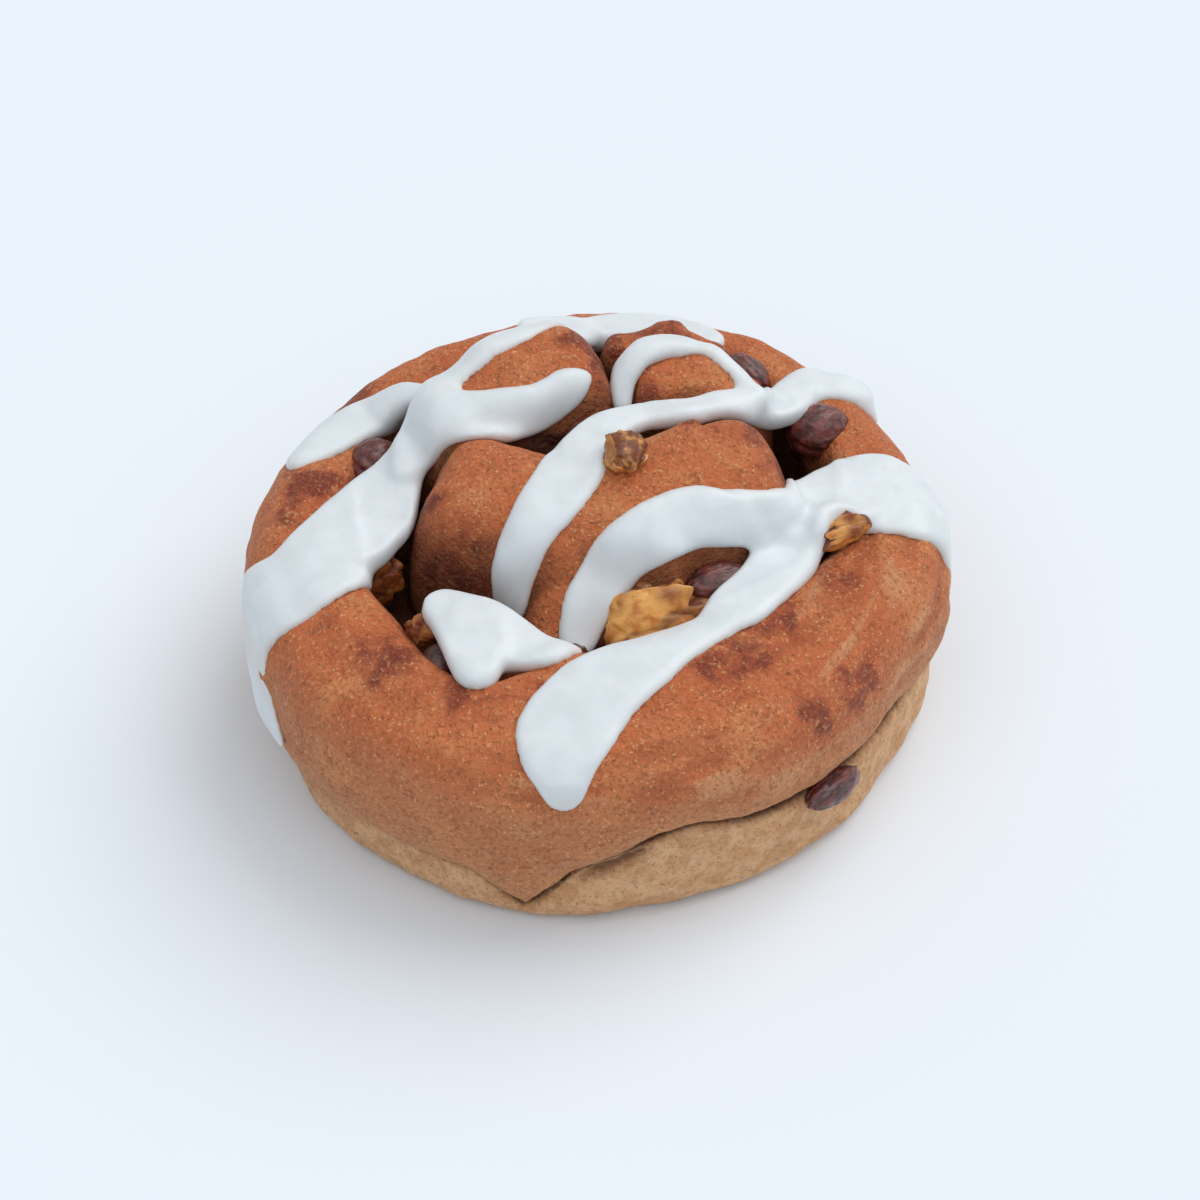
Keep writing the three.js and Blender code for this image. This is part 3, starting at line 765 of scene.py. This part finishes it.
def crust_relief(points, lumps, drawn):
    """How far the baked skin rises, in millimetres: lumps of three sizes, and stretch marks."""
    x, y, z = points.T
    angle, radius = polar(points)
    marks = (0.12 + 0.28 * front_right(angle)) * drawn * smooth(radius, 24, 30)
    broad, middling, small = lumps[0](x, y, z, 6), lumps[1](x, y, z, 2.6), lumps[2](x, y, z, 1.2)
    return (0.30 * broad + 0.14 * middling + 0.07 * small + marks) * smooth(z, 0.3, 1.5)


def crease_shade_share(points, field, grid):
    """How deep in a narrow crease a place is, 0 to 1: the weight of the painted shade there."""
    angle, radius = polar(points)
    z = points[:, 2]
    narrow = smooth(-sampled(blurred(field, 3), grid, points), 0.10, 0.55) * smooth(z, 0.3, 1.5)
    return np.maximum(narrow, 0.6 * pocket(angle, z) * smooth(radius, 38, 41))


def filling_and_shade_share(points, normals, enclosed):
    """How dark the hollows are, 0 to 1: cinnamon with painted shade on the trench walls and deep
    between the turns, and a painted shadow line just under the seam.
    """
    angle, radius = polar(points)
    inside = 1 - smooth(radius - crest_radius(angle), -4, 1)
    wall = 1 - smooth(normals[:, 2], 0.15, 0.75)
    # Painted shadow just under the bulge's overhang along the seam.
    seam_shadow = hump((points[:, 2] - seam_z(angle) + 1.2) / 0.7) * around(SEAM_DEPTH, angle)
    seam_shadow *= smooth(radius, 36, 39)
    # Painted shade, with the cinnamon between the turns, where the dough closes round a place.
    deep = smooth(enclosed, 0.55, 0.72) * inside
    return np.clip(inside * wall * 0.6 + deep + 0.9 * seam_shadow, 0, 1)


def scorched_share(points, enclosed, lumps):
    """How far the oven has caught the crust, 0 to 1: along the rim, on the ridges' edges and in
    the stains."""
    x, y, z = points.T
    angle, radius = polar(points)
    inward = radius - crest_radius(angle)
    rim = 0.8 * hump((inward + 7) / 3.5) + 0.5 * hump((inward + 0.5) / 1.4)
    rim *= smooth(z, 30, 33) * smooth(lumps[3](x, y, z, 9), -0.5, 0.3)
    edge = smooth(0.5 - enclosed, 0.08, 0.20) * smooth(z, 34, 40)
    edge = edge * smooth(lumps[2](x, y, z, 8), -0.5, 0.3)
    scorched = np.maximum(rim, 0.8 * edge)
    blown_x, blown_y = x + 3 * lumps[0](x, y, z, 3.2), y + 3 * lumps[1](x, y, z, 3.2)
    for stain_x, stain_y, size, strength in STAINS:
        away = np.hypot(blown_x - stain_x, blown_y - stain_y) / size
        stain = strength * (1 - smooth(away, 0.3, 2)) * smooth(z, 22, 28)
        scorched = np.maximum(scorched, stain)
    return scorched


def make_dough(field, grid):
    points, quads = surface_of(field, grid, 1)
    normals = corner_normals(points, quads)
    angle, radius = polar(points)
    z = points[:, 2]
    lumps = [Lattice(seed) for seed in CRUST_SEEDS]
    drawn = drawn_out(points, lumps[3])
    placed = points + normals * crust_relief(points, lumps, drawn)[:, None]
    solid = field < 0
    enclosed_near = sampled(blurred(solid, 3), grid, placed)
    enclosed_wide = sampled(blurred(solid, 8), grid, placed)
    above_seam = z - seam_z(angle)
    on_side = smooth(radius, 36, 40)
    fading = 1.5 + 7 * smooth(0.9 - around(SEAM_DEPTH, angle), 0, 0.6)
    stretched = 0.35 + 0.65 * front_right(angle)
    attributes = {
        "browned": smooth(z, 12, 33) * (0.35 + 0.65 * smooth(normals[:, 2], -0.1, 0.6)),
        "pale": 0.9 * smooth(-above_seam / fading, 0, 1) * on_side,
        # Cinnamon on the walls together with painted shade in the hollows and under the seam.
        "filling_and_shade": filling_and_shade_share(points, normals, enclosed_wide),
        "scorched": scorched_share(points, enclosed_near, lumps),
        "streak": drawn * stretched * smooth(radius, 26, 31) * smooth(z, 18, 26),
        # Weight of the painted shade in the narrow creases.
        "crease": crease_shade_share(points, field, grid),
        "tanned": (1 - smooth(above_seam, -1, 9)) * on_side,
    }
    add_piece("dough", placed, quads, crust_material(), attributes)


# ------------------------------------------------------------------ icing
def icing_material():
    """Set sugar icing: off-white, satin, a little see-through where it is thin."""
    shade, white, dough_colour = (0.72, 0.77, 0.80), (0.77, 0.82, 0.855), (0.66, 0.56, 0.46)
    s = Shader("icing")
    colour = s.mix(shade, white, s.remap(s.noise(5, 3), 0.35, 0.65))
    colour = s.mix(colour, dough_colour, s.times(s.attribute("thin"), 0.3))
    rough = s.remap(s.noise(2.5, 4), 0.3, 0.7, 0.30, 0.44)
    s.surface(colour, rough, Specular_IOR_Level=0.45)
    s.scatter(0.35, 2.2, 1.8, 1.4)
    s.bump(s.noise(1.6, 3), 0.05)
    return s.material


def spline(points):
    """Closely spaced points on a smooth curve through the given ones."""
    points = np.asarray(points, float)
    padded = np.vstack([2 * points[0] - points[1], points, 2 * points[-1] - points[-2]])
    out = []
    for i in range(1, len(padded) - 2):
        a, b, c, d = padded[i - 1:i + 3]
        n = max(2, int(np.linalg.norm(c[:3] - b[:3]) / POINT_SPACING))
        out.append(curve_between(a, b, c, d, np.arange(n)[:, None] / n))
    return np.vstack(out + [points[-1:]])


def outward_from(path):
    """The way out of the dough at each point of a path: up on the top, and leaning out more and more
    down the side."""
    roll_radius, shoulder_z = 50, 33
    forward = np.gradient(path, axis=0)
    forward /= np.linalg.norm(forward, axis=1, keepdims=True)
    lean = 0.5 * (np.hypot(path[:, 0], path[:, 1]) / roll_radius) ** 4
    lean = lean * (1 + 4 * smooth(shoulder_z - path[:, 2], 0, 8))
    x, y = path[:, 0] / roll_radius * lean, path[:, 1] / roll_radius * lean
    outward = np.stack([x, y, np.ones(len(path))], 1)
    outward -= forward * np.sum(outward * forward, 1, keepdims=True)
    return outward / np.linalg.norm(outward, axis=1, keepdims=True)


def evened(values):
    """Values along a path, each averaged with its neighbours."""
    kernel = np.hanning(9)[1:-1]
    return np.convolve(np.pad(values, 3, mode="edge"), kernel / kernel.sum(), mode="valid")


def pressed(line, field, grid):
    """A ribbon's centre line laid onto the surface near it. Each row is a point, the half width
    there, and how much the ribbon hangs across a hollow, 0 to 1."""
    path = line[:, :3]
    outward = outward_from(path)
    offset = np.zeros(len(path))
    found = np.zeros(len(path), bool)
    for step in np.arange(SEARCH_OUT, -SEARCH_IN, -SEARCH_STEP):
        hit = ~found & (sampled(field, grid, path + outward * step) < 0)
        offset[hit] = step
        found |= hit
    hanging = evened(~found * smooth(path[:, 2], *HANGING_Z))
    return np.column_stack([path + outward * evened(offset)[:, None], line[:, 3], hanging])


def ribbon_field(line, grid, base, ripple):
    """Distance out of one icing ribbon near its centre line, and far outside elsewhere: a layer on
    its base, or on a level sheet where it hangs, cut to the tube around its centre line."""
    tube = np.full(base.shape, FAR, np.float32)
    weight = np.full(base.shape[:2] + (1,), 1e-6)
    height = np.zeros(weight.shape)
    for *centre, width, hanging in line:
        reach = width + RIBBON_MARGIN
        cut = block_between(grid, [p - reach for p in centre], [p + reach for p in centre])
        offsets = (g[c] - p for g, c, p in zip(grid, cut, centre))
        dx, dy, dz = np.meshgrid(*offsets, indexing="ij", sparse=True)
        away = np.sqrt(dx * dx + dy * dy + dz * dz)
        tube[cut] = np.minimum(tube[cut], away - width)
        near = hanging * (1 - smooth(np.hypot(dx, dy) / (width + 1), 0.4, 1))
        weight[cut[:2]] += near
        height[cut[:2]] += near * centre[2]
    sheet = np.abs(grid[2] - height / weight + SHEET_DROP) - SHEET_HALF_THICKNESS
    base = rounded_min(base, sheet + FAR * (1 - smooth(weight, 0.1, 0.8)), 2.0)
    return rounded_max(base - ICING_THICKNESS, tube + ripple, ICING_EDGE)


def icing_field(ribbons, base, dough, grid):
    """Distance out of one piece of icing, its ribbons flowing into each other, and its grid."""
    lines = [pressed(spline(ribbon), base, grid) for ribbon in ribbons]
    every = np.vstack(lines)
    centres, widths = every[:, :3], every[:, 3]
    margin = widths.max() + RIBBON_MARGIN
    cut = block_between(grid, centres.min(0) - margin, centres.max(0) + margin)
    block = [g[c] for g, c in zip(grid, cut)]
    base, dough = base[cut], dough[cut]
    edge = Lattice(ICING_SEED)
    x, y, z = np.meshgrid(*block, indexing="ij", sparse=True)
    ripple = (0.35 * edge(x, y, z, 4.5) + 0.12 * edge(x, y, z, 1.8)).astype(np.float32)
    whole = np.full(base.shape, FAR, np.float32)
    for line in lines:
        whole = rounded_min(whole, ribbon_field(line, block, base, ripple), 1.5)
    whole = blurred(whole, 1)
    return rounded_max(whole, -(dough + ICING_SINK), 0.3).astype(np.float32), block


def bridged(field, grid, nuts):
    """What the icing lies on: the dough with the named nuts, its narrow gaps filled."""
    x, y, z = np.meshgrid(*grid, indexing="ij", sparse=True)
    for name in nuts:
        (px, py, pz), radii, _ = WALNUTS[name]
        away = np.sqrt((x - px) ** 2 + (y - py) ** 2 + (z - pz) ** 2)
        field = rounded_min(field, away - sum(radii) / 3, 1.0)
    field = rounded_min(field, blurred(field, 4) + 0.35, 0.5)
    return blurred(field, 1)


def make_icing(dough, grid):
    base = bridged(dough, grid, ICED_WALNUTS)
    material = icing_material()
    for node, ribbons in ICING.items():
        field, block = icing_field(ribbons, base, dough, grid)
        points, quads = surface_of(field, block, 3)
        thin = 1 - smooth(sampled(dough, grid, points), *THIN_ICING)
        add_piece(node, points, quads, material, {"thin": thin})


# ------------------------------------------------------------------ nuts and fruit
def ball():
    """A ball of radius 1, as corners and triangles."""
    mesh = bmesh.new()
    bmesh.ops.create_icosphere(mesh, subdivisions=5, radius=1)
    points = np.array([v.co[:] for v in mesh.verts])
    faces = np.array([[v.index for v in f.verts] for f in mesh.faces])
    mesh.free()
    return points, faces


def posed(points, place, radii, turn):
    """Points stretched by the radii, turned and put in their place."""
    rotation = np.array(Euler([math.radians(t) for t in turn], "XYZ").to_matrix())
    return (points * np.array(radii)) @ rotation.T + np.array(place)


def walnut_material():
    """Broken walnut: golden flesh with brown papery skin left in places."""
    golden, brown, syrup = (0.84, 0.42, 0.11), (0.60, 0.21, 0.04), (0.26, 0.065, 0.016)
    skin_dark, skin_light, crevice = (0.12, 0.03, 0.01), (0.24, 0.065, 0.018), (0.09, 0.02, 0.012)
    s = Shader("walnut")
    flesh = s.mix(golden, brown, s.remap(s.noise(2.2, 4), 0.4, 0.65))
    flesh = s.mix(flesh, syrup, s.attribute("glazed"))
    skin = s.mix(skin_dark, skin_light, s.noise(1.0, 3))
    share = s.remap(s.plus(s.attribute("skin"), s.noise(1.6, 4)), 0.85, 1.1)
    colour = s.mix(s.mix(flesh, skin, share), crevice, s.attribute("crevice"))
    rough = s.remap(s.noise(1.2, 3), 0.3, 0.7, 0.24, 0.48)
    s.surface(colour, rough, Specular_IOR_Level=0.55)
    s.scatter(0.1, 1.5, 0.8, 0.3)
    s.bump(s.noise(0.5, 4, 0.6), 0.12)
    return s.material


def walnut_shape(points, index, glazed):
    """A ball folded like a walnut and broken flat on four sides, and its attributes."""
    random = np.random.default_rng(BREAK_SEED + index)
    folds = Lattice(WALNUT_SEED + index)
    x, y, z = points.T
    fold = np.abs(folds(x, y, z, 0.8)) * 1.6
    small = np.abs(folds(x + 9, y, z, 0.33))
    shaped = points * (0.70 + 0.42 * np.minimum(fold, 0.9) + 0.16 * small)[:, None]
    broken = np.zeros(len(points))
    for direction in random.normal(size=(4, 3)):
        direction /= np.linalg.norm(direction)
        over = shaped @ direction - random.uniform(0.45, 0.65)
        shaped -= np.where(over > 0, over * 0.8, 0)[:, None] * direction
        broken = np.maximum(broken, smooth(over, 0.0, 0.06))
    x, y, z = shaped.T
    shaped = shaped + 0.05 * np.stack([folds(x, y, z + 3 * k, 0.16) for k in range(3)], 1)
    x, y, z = shaped.T
    return shaped, {
        "skin": 0.55 - 0.5 * broken,
        "crevice": 0.6 * (1 - smooth(fold, 0.0, 0.2)),
        "glazed": np.clip(glazed + 0.8 * folds(x, y + 5, z, 0.45), 0, 1),
    }


def make_walnuts():
    material = walnut_material()
    points, faces = ball()
    for index, (node, pose) in enumerate(WALNUTS.items()):
        shaped, attributes = walnut_shape(points, index, GLAZED[node])
        add_piece(node, posed(shaped, *pose), faces, material, attributes)


def raisin_material():
    """Moist raisin: dark red-brown wrinkles with glossy ridges."""
    dark, light, crevice = (0.075, 0.012, 0.010), (0.22, 0.042, 0.030), (0.025, 0.006, 0.006)
    s = Shader("raisin")
    colour = s.mix(dark, light, s.remap(s.noise(1.8, 3), 0.35, 0.65))
    colour = s.mix(colour, crevice, s.attribute("crevice"))
    rough = s.remap(s.noise(0.8, 3), 0.3, 0.7, 0.22, 0.48)
    s.surface(colour, rough, Specular_IOR_Level=0.6, Coat_Weight=0.6, Coat_Roughness=0.16)
    s.bump(s.noise(0.6, 4, 0.7), 0.30)
    return s.material


def raisin_shape(points, index):
    """A ball wrinkled along its length, and its attributes."""
    folds = Lattice(RAISIN_SEED + index)
    x, y, z = points.T
    big = np.abs(folds(0.45 * x, y, z, 0.42))
    small = np.abs(folds(0.6 * x + 7, y, z, 0.19))
    size = 0.95 + 0.14 * np.minimum(big, 0.6) + 0.07 * np.minimum(small, 0.6)
    return points * size[:, None], {"crevice": 0.7 * (1 - smooth(big, 0.02, 0.2))}


def make_raisins():
    material = raisin_material()
    points, faces = ball()
    for index, (node, pose) in enumerate(RAISINS.items()):
        shaped, attributes = raisin_shape(points, index)
        add_piece(node, posed(shaped, *pose), faces, material, attributes)


# ------------------------------------------------------------------ the scene
add_camera()
add_studio()
coarse = axes(DOUGH_STEP)
make_dough(dough_field(coarse), coarse)
fine = axes(ICING_STEP)
make_icing(dough_field(fine), fine)
make_walnuts()
make_raisins()
